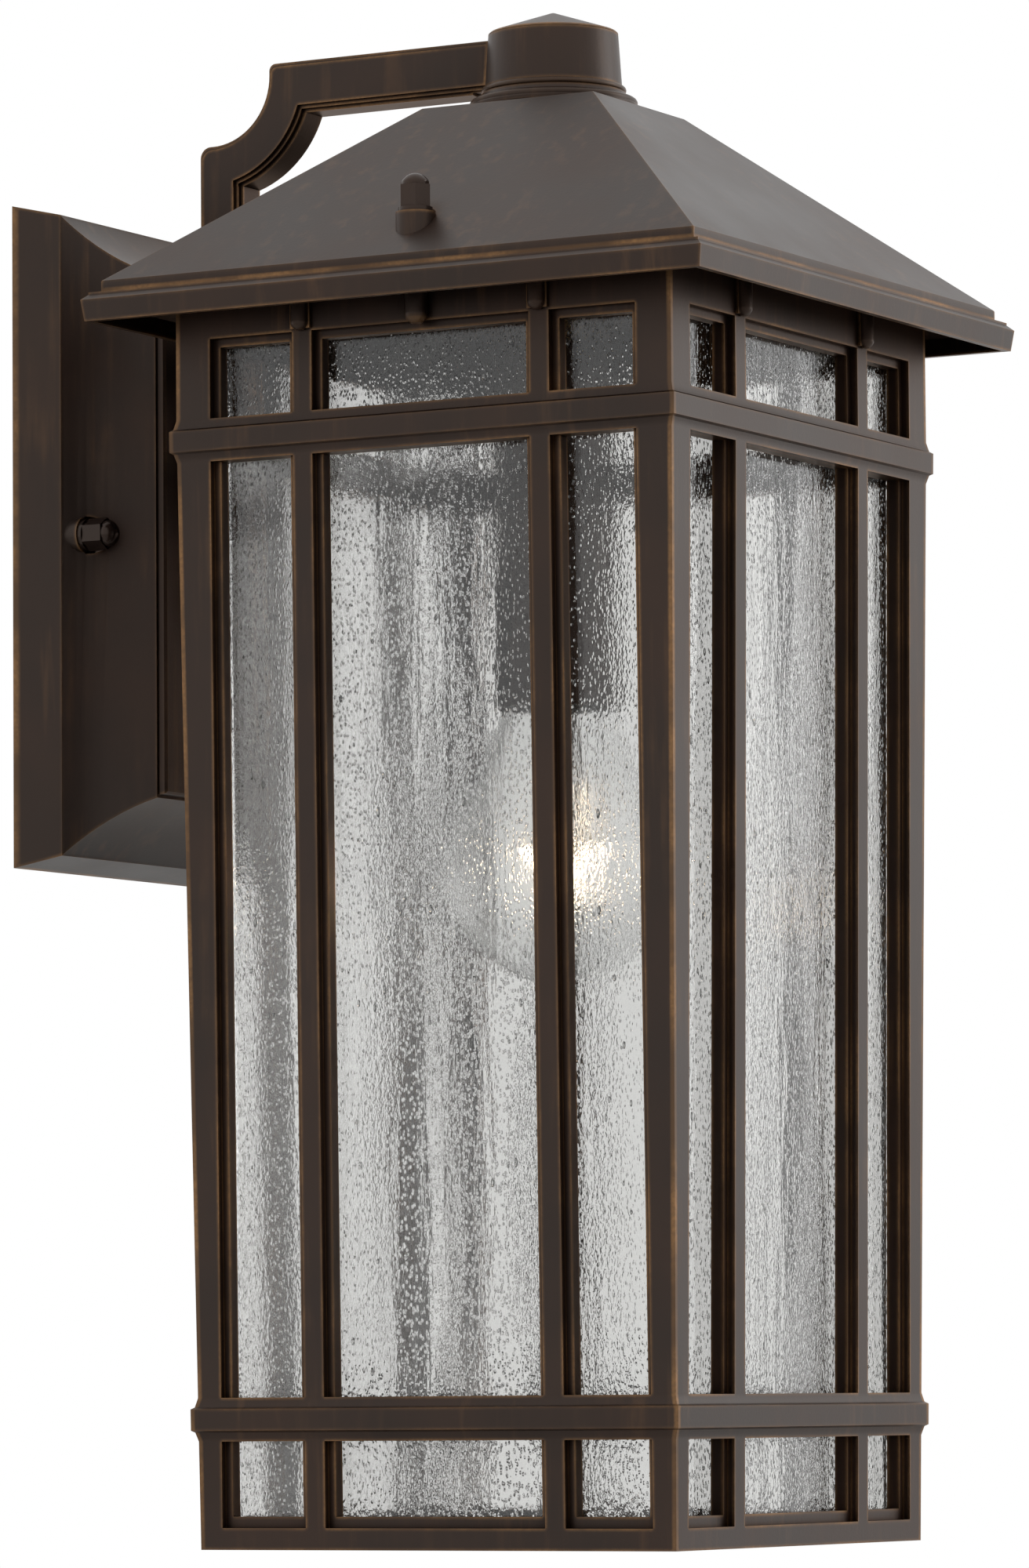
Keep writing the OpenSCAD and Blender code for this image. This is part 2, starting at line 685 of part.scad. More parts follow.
bulb_neck_r = 12.4;
bulb_wall = 0.9;
neck_z = base_low_z + 2;

// The bulb's outline on one side of its axis, with a wall t taken off it: a globe, and a neck flowing into it
module bulb_profile(t, head) {
    r = bulb_r - t;
    shoulder = 22;        // how far round the globe the neck begins, in degrees
    z0 = bulb_at + r * sin(shoulder);
    x0 = r * cos(shoulder);
    function flow(f) = 0.42 * f + 0.58 * f * f * (3 - 2 * f);
    intersection() {
        polygon(concat(
            arc(0, bulb_at, r, -90, shoulder, 22),
            [for (i = [1:10]) [x0 + (bulb_neck_r - t - x0) * flow(i / 10), z0 + (neck_z - z0) * i / 10]],
            [[bulb_neck_r - t, neck_z + head], [0, neck_z + head]]));
        square([far, far]);
    }
}

module bulb_globe() {
    color([0.85, 0.9, 0.92]) on_axis() difference() {
        rotate_extrude($fn = 72) bulb_profile(0, 0);
        rotate_extrude($fn = 72) bulb_profile(bulb_wall, 2);
    }
}

module bulb_base() {
    color(steel) on_axis() difference() {
        union() {
            translate([0, 0, base_low_z + 2.1]) cylinder(h = base_h - 5.1, r = base_r, $fn = 72);
            translate([0, 0, base_low_z + base_h - 3]) cylinder(h = 3, r1 = base_r, r2 = 8, $fn = 72);
        }
        translate([0, 0, base_low_z + 1]) cylinder(h = base_h - 5, r = base_r - 0.5, $fn = 72);
        translate([0, 0, base_low_z + base_h - 4]) cylinder(h = 8, r = 4.6);
    }
}

module bulb_tip() {
    color(brass) on_axis() {
        translate([0, 0, base_low_z + base_h + 0.1]) cylinder(h = 2, r1 = 7.6, r2 = 5);
        translate([0, 0, base_low_z + base_h + 2.1]) cylinder(h = 1.3, r1 = 4.6, r2 = 3);
    }
}

stem_tip_z = base_low_z - 34;
module bulb_stem() {
    color([0.85, 0.9, 0.92]) on_axis() {
        translate([0, 0, stem_tip_z]) cylinder(h = 34, r1 = 2.2, r2 = 3.4);
        translate([0, 0, base_low_z]) cylinder(h = 1.9, r = 11);
    }
}

// A wire stretched between two slanting props
module bulb_filament() {
    wire_r = 0.4;
    reach_out = 11;
    wire_z = stem_tip_z - 18;
    color(steel) on_axis() {
        for (s = [-1, 1]) rod([0, s * 1.2, stem_tip_z - 0.2], [0, s * reach_out, wire_z], wire_r);
        rod([0, -reach_out - 0.3, wire_z], [0, reach_out + 0.3, wire_z], wire_r);
    }
}

// ---- Cage ----

small_foot_z = window_foot_z + 3;
small_head_z = window_head_z - 2.2;
rows = [[window_foot_z, band_low_z - band_half], [band_low_z + band_half, band_high_z - band_half],
        [band_high_z + band_half, window_head_z]];
inner_rows = [[small_foot_z, band_low_z - band_half], rows[1], [band_high_z + band_half, small_head_z]];
columns = [[-glazed_half, -bar_at - bar_w / 2], [-bar_at + bar_w / 2, bar_at - bar_w / 2],
           [bar_at + bar_w / 2, glazed_half]];
lug_r = 3.2;
rib_r = 2.5;

// One projecting band's moulding, from the foot of its lower bevel to the head of its upper one
function band_profile(z) = [
    [cage_half(z - band_half), z - band_half], [cage_half(z - 3.8) + band_out * 0.35, z - 3.9],
    [cage_half(z - 3.4) + band_out * 0.45, z - 3.4], [cage_half(z - 2.9) + band_out, z - 2.9],
    [cage_half(z + 2.8) + band_out, z + 2.8], [cage_half(z + 3.3) + band_out * 0.45, z + 3.3],
    [cage_half(z + 3.8) + band_out * 0.35, z + 3.8], [cage_half(z + band_half), z + band_half]];

// The prism that one side of the cage lies in: between the two mitres, in front of the axis
module side_wedge() {
    linear_extrude(far) polygon([[0, 0], [-120, -120], [120, -120]]);
}

module window_cuts(row_list, inset) {
    for (c = columns)
        for (r = row_list)
            translate([c[0] + inset, -far / 2, r[0]]) cube([c[1] - c[0] - 2 * inset, far / 2, r[1] - r[0]]);
}

// An upright post with a rounded foot below z = 0
module round_foot(r, h) {
    rotate_extrude() polygon([[0, -0.9 * r], [0.44 * r, -0.9 * r], [0.75 * r, -0.66 * r],
                              [0.94 * r, -0.35 * r], [r, 0], [r, h], [0, h]]);
}

// One flat side of the cage, drawn as the front; the others are the same, turned
module cage_side(lug = false) {
    lip_h = 2.5;
    lip_in = 6;
    groove = glass_half(0) - glass_t - 0.3;
    difference() {
        intersection() {
            side_wedge();
            union() {
                // the face, with the windows cut to their full size
                difference() {
                    square_body(concat([[cage_half(0), 0]], band_profile(band_low_z),
                                       band_profile(band_high_z), [[cage_half(head_z), frame_top_z]]));
                    square_body([[cage_half(0) - bead_drop, -1], [cage_half(head_z) - bead_drop, head_z],
                                 [cage_half(head_z) - bead_drop, frame_top_z + 1]]);
                    window_cuts(rows, 0);
                }
                // the core behind it, with the bead left round each window
                difference() {
                    square_body([[cage_half(0) - bead_drop, 0], [cage_half(head_z) - bead_drop, head_z],
                                 [cage_half(head_z) - bead_drop, frame_top_z]]);
                    square_body([[glass_half(-1), -1], [glass_half(frame_top_z + 1), frame_top_z + 1]]);
                    window_cuts(inner_rows, bead_w);
                }
                // the channel that the glass stands in
                difference() {
                    square_body([[glass_half(0) + 0.1, 0], [glass_half(0) + 0.1, lip_h],
                                 [groove, lip_h], [groove, lip_h + 4]]);
                    square_body([[glass_half(0) - lip_in, -1], [glass_half(0) - lip_in, lip_h + 5]]);
                }
            }
        }
        if (lug) translate([0, -cage_stud_x, window_head_z]) cylinder(h = 30, r = stud_r + nut_clear);
    }
    // ribs under the eave, above each glazing bar
    for (x = [-bar_at, bar_at]) {
        translate([x - bar_w / 2, -cage_half(head_z) - 1, window_head_z + 0.6])
            cube([bar_w, 1.2, frame_top_z - window_head_z - 0.6]);
        translate([x, -cage_half(head_z) - 1, window_head_z + 2.4]) intersection() {
            round_foot(rib_r, frame_top_z - window_head_z - 2.4);
            translate([-5, -10, -10]) cube([10, 10.5, 60]);
        }
    }
    if (lug) difference() {
        translate([0, -cage_stud_x, window_head_z + 2])
            round_foot(lug_r, frame_top_z - window_head_z - 2);
        translate([0, -cage_stud_x, window_head_z]) cylinder(h = 30, r = stud_r + nut_clear);
        translate([-10, -cage_half(head_z) + 0.05, 0]) cube([20, 20, far]);
    }
}

module turned_side(a) { on_axis() rotate([0, 0, a]) children(); }

module cage_front() { color(bronze) turned_side(0) cage_side(); }
module cage_rear() { color(bronze) turned_side(180) cage_side(); }
module cage_left() { color(bronze) turned_side(-90) cage_side(lug = true); }
module cage_right() { color(bronze) turned_side(90) cage_side(lug = true); }

stud_low_z = window_head_z + 1;
module cage_studs() {
    color(brass) on_axis() for (s = [-1, 1])
        translate([s * cage_stud_x, 0, stud_low_z])
            cylinder(h = boss_top_z + washer_t + nut_hex_h - 1.2 - stud_low_z, r = stud_r);
}

// ---- Glass ----

pane_gap = 0.05;      // between a pane and the frame it lies on
pane_low_z = 2.6;
pane_high_z = window_head_z + 6;
// A leaning pane, drawn as the front one
module pane(half) {
    rotate([90, 0, 90]) linear_extrude(2 * half, center = true)
        polygon([[-glass_half(pane_low_z) + pane_gap, pane_low_z],
                 [-glass_half(pane_low_z) + pane_gap + glass_t, pane_low_z],
                 [-glass_half(pane_high_z) + pane_gap + glass_t, pane_high_z],
                 [-glass_half(pane_high_z) + pane_gap, pane_high_z]]);
}

wide_pane = glass_half(0) - 1.2;
narrow_pane = glass_half(0) - glass_t - 0.3;
module glass_front() { color([0.8, 0.85, 0.85]) turned_side(0) pane(wide_pane); }
module glass_rear() { color([0.8, 0.85, 0.85]) turned_side(180) pane(wide_pane); }
module glass_left() { color([0.8, 0.85, 0.85]) turned_side(-90) pane(narrow_pane); }
module glass_right() { color([0.8, 0.85, 0.85]) turned_side(90) pane(narrow_pane); }

clip_w = 8;
clip_at = 44;
clip_t = 0.8;
clip_z = pane_high_z + 4;
// A spring clip: its foot presses on the glass and its tab lies on the frame
module clip() {
    y = -glass_half(clip_z);
    y_glass = -glass_half(pane_high_z - 5) + pane_gap + glass_t + 0.1;
    rotate([90, 0, 90]) linear_extrude(clip_w, center = true)
        polygon([[y + 0.1, clip_z + 4], [y + 0.1 + clip_t, clip_z + 4], [y + 0.1 + clip_t, clip_z - 1.6],
                 [y_glass + clip_t, clip_z - 3.2], [y_glass + clip_t, clip_z - 9], [y_glass, clip_z - 9],
                 [y_glass, clip_z - 3.8], [y + 0.1, clip_z - 2.6]]);
}

module each_clip() {
    for (a = [0:90:270])
        turned_side(a) for (x = [-clip_at, clip_at]) translate([x, 0, 0]) children();
}

module glass_clips() {
    color(steel) difference() {
        each_clip() clip();
        each_clip() out_of_wall(0, -glass_half(clip_z) + 3, clip_z + 1.4) cylinder(h = 6, r = 1.3);
    }
}

module clip_screws() {
    y = -glass_half(clip_z);
    color(steel) each_clip() difference() {
        translate([0, y + clip_t + 0.15, clip_z + 1.4]) {
            rotate([90, 0, 0]) cylinder(h = clip_t + 0.15, r = 1.25);
            rotate([-90, 0, 0]) cylinder(h = 1.4, r1 = 2.4, r2 = 1.7);
        }
        translate([0, y + clip_t + 1.5, clip_z + 1.4]) cube([5, 1.2, 0.7], center = true);
    }
}

box_strap();
stud_strap();
strap_rivet();
ground_screw();
plate_studs();
stud_lock_nuts();
wall_gasket();
wall_plate();
wall_washer(-stud_spacing / 2);  // wall_washer_left
wall_washer(stud_spacing / 2);  // wall_washer_right
wall_nut(-stud_spacing / 2);  // wall_nut_left
wall_nut(stud_spacing / 2);  // wall_nut_right
arm();
arm_screws();
arm_nipple();
arm_nipple_nut();
cap_drum();
cap_lid();
cap_collar();
stem_nipple();
stem_nuts();
roof();
roof_washer(-1);  // roof_washer_left
roof_washer(1);  // roof_washer_right
roof_nut(-1);  // roof_nut_left
roof_nut(1);  // roof_nut_right
lampholder_sleeve();
lampholder_body();
screw_shell();
centre_contact();
supply_leads();
earth_lead();
bulb_globe();
bulb_base();
bulb_tip();
bulb_stem();
bulb_filament();
cage_front();
cage_rear();
cage_left();
cage_right();
cage_studs();
glass_front();
glass_rear();
glass_left();
glass_right();
glass_clips();
clip_screws();
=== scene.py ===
"""Outdoor wall lantern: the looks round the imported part, laid out as an add-on."""

import math
import random

import bmesh
import bpy
from bpy.props import (BoolProperty, FloatProperty, FloatVectorProperty, IntProperty,
                       PointerProperty)
from bpy.types import Operator, Panel, PropertyGroup
from mathutils import Matrix, Vector, noise


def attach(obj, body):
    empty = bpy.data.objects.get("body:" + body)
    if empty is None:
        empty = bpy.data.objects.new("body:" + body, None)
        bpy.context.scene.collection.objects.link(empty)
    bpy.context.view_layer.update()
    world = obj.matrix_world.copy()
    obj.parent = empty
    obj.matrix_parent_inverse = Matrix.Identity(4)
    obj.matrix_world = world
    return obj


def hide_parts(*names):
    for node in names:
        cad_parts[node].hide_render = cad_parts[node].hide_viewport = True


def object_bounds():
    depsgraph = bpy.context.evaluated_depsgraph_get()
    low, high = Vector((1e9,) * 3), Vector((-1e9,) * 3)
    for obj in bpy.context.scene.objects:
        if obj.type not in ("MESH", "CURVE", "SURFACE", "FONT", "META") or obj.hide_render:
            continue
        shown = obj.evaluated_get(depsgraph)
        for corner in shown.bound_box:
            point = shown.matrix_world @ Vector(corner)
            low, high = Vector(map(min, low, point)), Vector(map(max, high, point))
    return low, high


bl_info = {
    "name": "Wall Lantern Looks",
    "version": (1, 0, 0),
    "blender": (4, 5, 0),
    "location": "View3D > Sidebar > Lantern",
    "description": "Finishes a glazed wall lantern round its packed frame",
    "category": "Object",
}

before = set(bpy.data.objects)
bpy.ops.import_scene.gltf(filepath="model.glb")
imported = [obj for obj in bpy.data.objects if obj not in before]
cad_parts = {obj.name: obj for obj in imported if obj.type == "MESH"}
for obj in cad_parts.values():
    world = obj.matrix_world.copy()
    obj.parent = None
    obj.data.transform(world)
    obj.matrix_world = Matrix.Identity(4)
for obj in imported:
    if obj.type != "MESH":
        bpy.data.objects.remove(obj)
cad_lo, cad_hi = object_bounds()

MM = 0.001

# The modifiers on the frame's nodes
WELD_DISTANCE = 0.001 * MM
FLAT_ANGLE = math.radians(0.6)
EASED_ANGLE = math.radians(28)
CRISP_ANGLE = math.radians(35)
FLAT_WEIGHT = 80

# The worn coat, and the painted shade in hollows
WEAR_REACH = 1.05 * MM
GRIME_REACH = 4 * MM
# painted shade: how far round a point the lantern's other parts are sought, to darken the coat in
# hollows
PAINTED_SHADE_REACH = 60 * MM
THINNED_COAT = (0.062, 0.032, 0.016)
COAT_GLOSS = 0.36
COAT_SHEEN_TINT = (1.0, 0.83, 0.73)

# Bumps in the panes, each with its depth and its cells per metre
DIMPLE_DEPTH, DIMPLE_SCALE = 0.15 * MM, (1050.0, 1050.0, 520.0)
STREAK_DEPTH, STREAK_SCALE = 0.10 * MM, (300.0, 300.0, 38.0)
SPECK_DEPTH, SPECK_SCALE, SPECK_SIZE = 0.12 * MM, (950.0, 950.0, 520.0), 0.37
PATCH_SCALE = (60.0, 60.0, 8.0)
PANE_COLUMNS, PANE_ROWS = 44, 96

# The bulb's small parts
THREAD_TURNS, THREAD_WIRE = 3.5, 0.45 * MM
THREAD_RISE, THREAD_SINK = 2.5 * MM, 0.32 * MM
COIL_RADIUS, COIL_WIRE = 0.75 * MM, 0.16 * MM
PROP_RADIUS, PROP_GAP, PROP_SINK = 0.25 * MM, 1.2 * MM, 0.2 * MM
GLOW_COLOUR, GLOW_STRENGTH = (1.0, 0.78, 0.52), 260.0

# The stage
FLOOR_RADIUS, FLOOR_DROP = 6.0, 0.75
LIGHT_OFFSET, LIGHT_SIDE, LIGHT_POWER = Vector((1.6, -1.8, 0.6)), 1.4, 14.0
CAMERA_PLACE = (-1.7936, -1.1228, -0.2384)
CAMERA_TURN, CAMERA_LIFT, CAMERA_TILT = (math.radians(a) for a in (29.04, 4.669, -0.453))
CAMERA_LENS, CAMERA_SENSOR = 172.575, 36.0

# The nodes that wear each finish as they come from the frame
CASTINGS = ("wall_plate", "arm", "roof", "cap_drum", "cap_lid", "cap_collar",
            "cage_front", "cage_rear", "cage_left", "cage_right")
SMALL_BRONZE = ("wall_washer_left", "wall_washer_right", "wall_nut_left", "wall_nut_right",
                "roof_washer_left", "roof_washer_right", "roof_nut_left", "roof_nut_right",
                "lampholder_sleeve")
ZINC_PLATED = ("box_strap", "stud_strap", "strap_rivet", "stud_lock_nuts", "arm_screws",
               "glass_clips", "clip_screws")
BRASS = ("plate_studs", "cage_studs", "arm_nipple", "arm_nipple_nut", "stem_nipple",
         "stem_nuts", "screw_shell", "centre_contact", "bulb_tip")
PANES = ("glass_front", "glass_rear", "glass_left", "glass_right")


# ---- Sizes and colours ----

class LanternSizes(PropertyGroup):
    """Sizes of the finish"""
    edge_round: FloatProperty(
        name="Edge rounding", description="Width of the eased edges of the castings",
        default=0.45 * MM, min=0.0, unit="LENGTH")
    glass_wave: FloatProperty(
        name="Glass wave", description="How far a pane's faces wander from flat",
        default=0.12 * MM, min=0.0, unit="LENGTH")
    seed_count: IntProperty(
        name="Seeds", description="Bubbles in each pane", default=420, min=0)
    seed_radius: FloatProperty(
        name="Seed radius", description="Radius of the largest bubbles",
        default=0.6 * MM, min=0.1 * MM, unit="LENGTH")
    thread_pitch: FloatProperty(
        name="Bulb thread pitch",
        description="Distance from one turn of the bulb's thread to the next",
        default=3.63 * MM, min=1 * MM, unit="LENGTH")
    coil_pitch: FloatProperty(
        name="Filament pitch",
        description="Distance from one turn of the filament's coil to the next",
        default=0.62 * MM, min=0.2 * MM, unit="LENGTH")
    coil_spread: FloatProperty(
        name="Filament spread",
        description="How far the coil's two ends stand from the bulb's axis",
        default=11 * MM, min=1 * MM, unit="LENGTH")
    coil_drop: FloatProperty(
        name="Filament drop",
        description="How far the coil's ends rise and its middle falls",
        default=8 * MM, min=0.0, unit="LENGTH")


class LanternColours(PropertyGroup):
    """Colours of the finish, in linear light"""
    bronze: FloatVectorProperty(
        name="Bronze", description="The dark coat over the castings", subtype="COLOR",
        default=(0.0152, 0.0095, 0.0076), min=0, max=1)
    copper: FloatVectorProperty(
        name="Rub-through", description="What shows where the coat has worn off an edge",
        subtype="COLOR",
        default=(0.26, 0.14, 0.06), min=0, max=1)
    glass: FloatVectorProperty(
        name="Seeded glass", description="Tint of the panes", subtype="COLOR",
        default=(0.80, 0.80, 0.79), min=0, max=1)
    floor: FloatVectorProperty(
        name="Floor", description="The plain floor under the lantern", subtype="COLOR",
        default=(0.6, 0.6, 0.59), min=0, max=1)
    lit: BoolProperty(
        name="Lit", description="Whether the filament glows", default=True)


# ---- Shader helpers ----

def new_material(name):
    """A material with nodes, its Principled shader and its links."""
    material = bpy.data.materials.new(name)
    material.use_nodes = True
    nodes = material.node_tree.nodes
    return material, nodes, material.node_tree.links, nodes["Principled BSDF"]


def object_coords(nodes):
    """The piece's own coordinates, in metres."""
    return nodes.new("ShaderNodeTexCoord").outputs["Object"]


def stretched(nodes, links, coords, scale):
    """Coordinates with so many cells per metre along each axis."""
    mapping = nodes.new("ShaderNodeMapping")
    mapping.inputs["Scale"].default_value = scale
    links.new(coords, mapping.inputs["Vector"])
    return mapping.outputs["Vector"]


def add_noise(nodes, links, coords, scale, detail=3.0):
    """A noise texture of so many cells per metre, or three such numbers, one for each axis."""
    if isinstance(scale, tuple):
        coords, scale = stretched(nodes, links, coords, scale), 1.0
    texture = nodes.new("ShaderNodeTexNoise")
    texture.inputs["Scale"].default_value = scale
    texture.inputs["Detail"].default_value = detail
    links.new(coords, texture.inputs["Vector"])
    return texture.outputs["Fac"]


def add_specks(nodes, links, coords, scale, size):
    """Small round spots in a loose scatter: 1 at a spot's middle and 0 outside it."""
    cells = nodes.new("ShaderNodeTexVoronoi")
    cells.inputs["Scale"].default_value = 1.0
    links.new(stretched(nodes, links, coords, scale), cells.inputs["Vector"])
    return ramp(nodes, links, cells.outputs["Distance"], size, 0.0)


def ramp(nodes, links, value, low, high):
    """value, rescaled so that low becomes 0 and high becomes 1, with a soft start and end."""
    node = nodes.new("ShaderNodeMapRange")
    node.interpolation_type = "SMOOTHSTEP"
    node.inputs["From Min"].default_value = low
    node.inputs["From Max"].default_value = high
    links.new(value, node.inputs["Value"])
    return node.outputs["Result"]


def rescale(nodes, links, value, low, high):
    """value from 0 to 1, spread between low and high."""
    node = nodes.new("ShaderNodeMapRange")
    node.inputs["To Min"].default_value = low
    node.inputs["To Max"].default_value = high
    links.new(value, node.inputs["Value"])
    return node.outputs["Result"]


def maths(nodes, links, operation, a, b):
    """A sum or the like of two values. Either may be a socket or a number."""
    node = nodes.new("ShaderNodeMath")
    node.operation = operation
    for socket, value in zip(node.inputs, (a, b)):
        if isinstance(value, (int, float)):
            socket.default_value = value
        else:
            links.new(value, socket)
    return node.outputs["Value"]


def mix_colour(nodes, links, factor, a, b):
    """A blend of two colours. Either may be a socket or three numbers."""
    node = nodes.new("ShaderNodeMix")
    node.data_type = "RGBA"
    links.new(factor, node.inputs["Factor"])
    sockets = [s for s in node.inputs if s.type == "RGBA"]
    for socket, value in zip(sockets, (a, b)):
        if isinstance(value, bpy.types.NodeSocket):
            links.new(value, socket)
        else:
            socket.default_value = (*value[:3], 1)
    return next(s for s in node.outputs if s.type == "RGBA")


def add_bump(nodes, links, height, distance, strength=1.0, after=None):
    """A bump as deep as distance, laid over the one before it where there is one."""
    node = nodes.new("ShaderNodeBump")
    node.inputs["Distance"].default_value = distance
    node.inputs["Strength"].default_value = strength
    links.new(height, node.inputs["Height"])
    if after is not None:
        links.new(after, node.inputs["Normal"])
    return node.outputs["Normal"]


def new_group(name, inputs, outputs):
    """An empty shader node group with float inputs, and outputs of the kinds given."""
    group = bpy.data.node_groups.new(name, "ShaderNodeTree")
    for label, default in inputs:
        socket = group.interface.new_socket(label, in_out="INPUT", socket_type="NodeSocketFloat")
        socket.default_value = default
    for label, kind in outputs:
        group.interface.new_socket(label, in_out="OUTPUT", socket_type=kind)
    return group, group.nodes.new("NodeGroupInput"), group.nodes.new("NodeGroupOutput")


def wear_and_shade_group():
    """Wear in a broken line along edges, grime in corners, and painted shade in hollows."""
    if "Edge wear and painted shade" in bpy.data.node_groups:
        return bpy.data.node_groups["Edge wear and painted shade"]
    group, start, end = new_group(
        "Edge wear and painted shade", [("Reach", 0.0012), ("Patches", 40.0), ("Amount", 0.5)],
        [(label, "NodeSocketFloat") for label in ("Wear", "Grime", "Patch", "Painted shade")])
    nodes, links = group.nodes, group.links
    coords = object_coords(nodes)

    outer = nodes.new("ShaderNodeAmbientOcclusion")
    outer.inside = True
    outer.only_local = True
    outer.samples = 5
    links.new(start.outputs["Reach"], outer.inputs["Distance"])
    edge = maths(nodes, links, "SUBTRACT", 1.0, outer.outputs["AO"])

    inner = nodes.new("ShaderNodeAmbientOcclusion")
    inner.only_local = True
    inner.samples = 4
    inner.inputs["Distance"].default_value = GRIME_REACH
    grime = maths(nodes, links, "SUBTRACT", 1.0, inner.outputs["AO"])

    # painted shade: occlusion by every part of the lantern within reach marks the hollows under
    # the eave and in the reveals, which the coat then paints darker
    around = nodes.new("ShaderNodeAmbientOcclusion")
    around.samples = 5
    around.inputs["Distance"].default_value = PAINTED_SHADE_REACH
    painted_hollow_shade = maths(nodes, links, "SUBTRACT", 1.0, around.outputs["AO"])
    links.new(ramp(nodes, links, painted_hollow_shade, 0.18, 0.62), end.inputs["Painted shade"])

    patch = nodes.new("ShaderNodeTexNoise")
    patch.inputs["Detail"].default_value = 4.0
    patch.inputs["Roughness"].default_value = 0.62
    links.new(start.outputs["Patches"], patch.inputs["Scale"])
    links.new(coords, patch.inputs["Vector"])
    broken = ramp(nodes, links, patch.outputs["Fac"], 0.40, 0.66)
    fine = ramp(nodes, links, add_noise(nodes, links, coords, 900.0, 2.0), 0.3, 0.7)
    fine = rescale(nodes, links, fine, 0.55, 1.0)
    streaked = maths(nodes, links, "MULTIPLY", broken, fine)
    # a faint line everywhere along an edge, and a strong one in the rubbed patches
    strength = rescale(nodes, links, streaked, 0.3, 1.0)
    wear = maths(nodes, links, "MULTIPLY", ramp(nodes, links, edge, 0.12, 0.38), strength)
    wear = maths(nodes, links, "MULTIPLY", wear, start.outputs["Amount"])
    links.new(wear, end.inputs["Wear"])
    links.new(ramp(nodes, links, grime, 0.15, 0.75), end.inputs["Grime"])
    links.new(broken, end.inputs["Patch"])
    return group


def grain_group():
    """The skin of a sprayed casting: a fine peel, with a broad mottle in tone."""
    if "Cast grain" in bpy.data.node_groups:
        return bpy.data.node_groups["Cast grain"]
    group, start, end = new_group(
        "Cast grain", [("Peel size", 1400.0), ("Mottle size", 30.0)],
        [("Height", "NodeSocketFloat"), ("Mottle", "NodeSocketFloat")])
    nodes, links = group.nodes, group.links
    coords = object_coords(nodes)
    for label, target, detail in (("Peel size", "Height", 2.0), ("Mottle size", "Mottle", 5.0)):
        texture = nodes.new("ShaderNodeTexNoise")
        texture.inputs["Detail"].default_value = detail
        links.new(start.outputs[label], texture.inputs["Scale"])
        links.new(coords, texture.inputs["Vector"])
        links.new(texture.outputs["Fac"], end.inputs[target])
    return group


def use_group(nodes, group, **values):
    """Places a group with its own values, and gives its outputs."""
    node = nodes.new("ShaderNodeGroup")
    node.node_tree = group
    for label, value in values.items():
        node.inputs[label.replace("_", " ")].default_value = value
    return node.outputs


# ---- Finishes ----

def bronze_finish(name, colours, amount, rough_low=0.30, rough_high=0.46):
    """Oil-rubbed bronze: a dark brown coat, rubbed through to copper along the edges, with
    painted shade in deep hollows.
    """
    material, nodes, links, shader = new_material(name)
    wear = use_group(nodes, wear_and_shade_group(), Reach=WEAR_REACH, Patches=34.0, Amount=amount)
    grain = use_group(nodes, grain_group(), Peel_size=1100.0, Mottle_size=26.0)
    dark = [c * 0.6 for c in colours.bronze]
    warm = [c * f for c, f in zip(colours.bronze, (1.7, 1.45, 1.25))]
    mottle = ramp(nodes, links, grain["Mottle"], 0.3, 0.72)
    coat = mix_colour(nodes, links, mottle, colours.bronze, warm)
    grime = maths(nodes, links, "MULTIPLY", wear["Grime"], 0.8)
    coat = mix_colour(nodes, links, grime, coat, dark)
    # handling has thinned the coat in long brown streaks
    streak = add_noise(nodes, links, object_coords(nodes), (240.0, 240.0, 20.0), 4.0)
    patch = rescale(nodes, links, wear["Patch"], 0.1, 0.8 * amount)
    thin = maths(nodes, links, "MULTIPLY", ramp(nodes, links, streak, 0.5, 0.74), patch)
    coat = mix_colour(nodes, links, thin, coat, THINNED_COAT)
    worn = mix_colour(nodes, links, wear["Wear"], coat, colours.copper)
    links.new(worn, shader.inputs["Base Color"])
    # painted shade: a metallic share takes the dark coat's reflection away in deep hollows, where
    # little light comes in, so these are painted darker; it also gives the bare copper its own
    bare = maths(nodes, links, "MULTIPLY", wear["Wear"], 0.6)
    dull = maths(nodes, links, "MULTIPLY", wear["Painted shade"], 0.85)
    links.new(maths(nodes, links, "MAXIMUM", bare, dull), shader.inputs["Metallic"])
    roughness = rescale(nodes, links, grain["Mottle"], rough_low, rough_high)
    links.new(roughness, shader.inputs["Roughness"])
    shader.inputs["Specular IOR Level"].default_value = COAT_GLOSS
    shader.inputs["Specular Tint"].default_value = (*COAT_SHEEN_TINT, 1)
    links.new(add_bump(nodes, links, grain["Height"], 0.05 * MM, 0.35), shader.inputs["Normal"])
    return material


def metal_finish(name, colour, rough_low, rough_high, scratch=900.0):
    """Plated or plain metal with fine handling marks."""
    material, nodes, links, shader = new_material(name)
    coords = object_coords(nodes)
    tone = add_noise(nodes, links, coords, 60.0, 4.0)
    marks = add_noise(nodes, links, coords, scratch, 2.0)
    dull = [c * 0.72 for c in colour]
    links.new(mix_colour(nodes, links, ramp(nodes, links, tone, 0.3, 0.7), dull, colour),
              shader.inputs["Base Color"])
    shader.inputs["Metallic"].default_value = 1.0
    links.new(rescale(nodes, links, marks, rough_low, rough_high), shader.inputs["Roughness"])
    links.new(add_bump(nodes, links, marks, 0.02 * MM, 0.4), shader.inputs["Normal"])
    return material


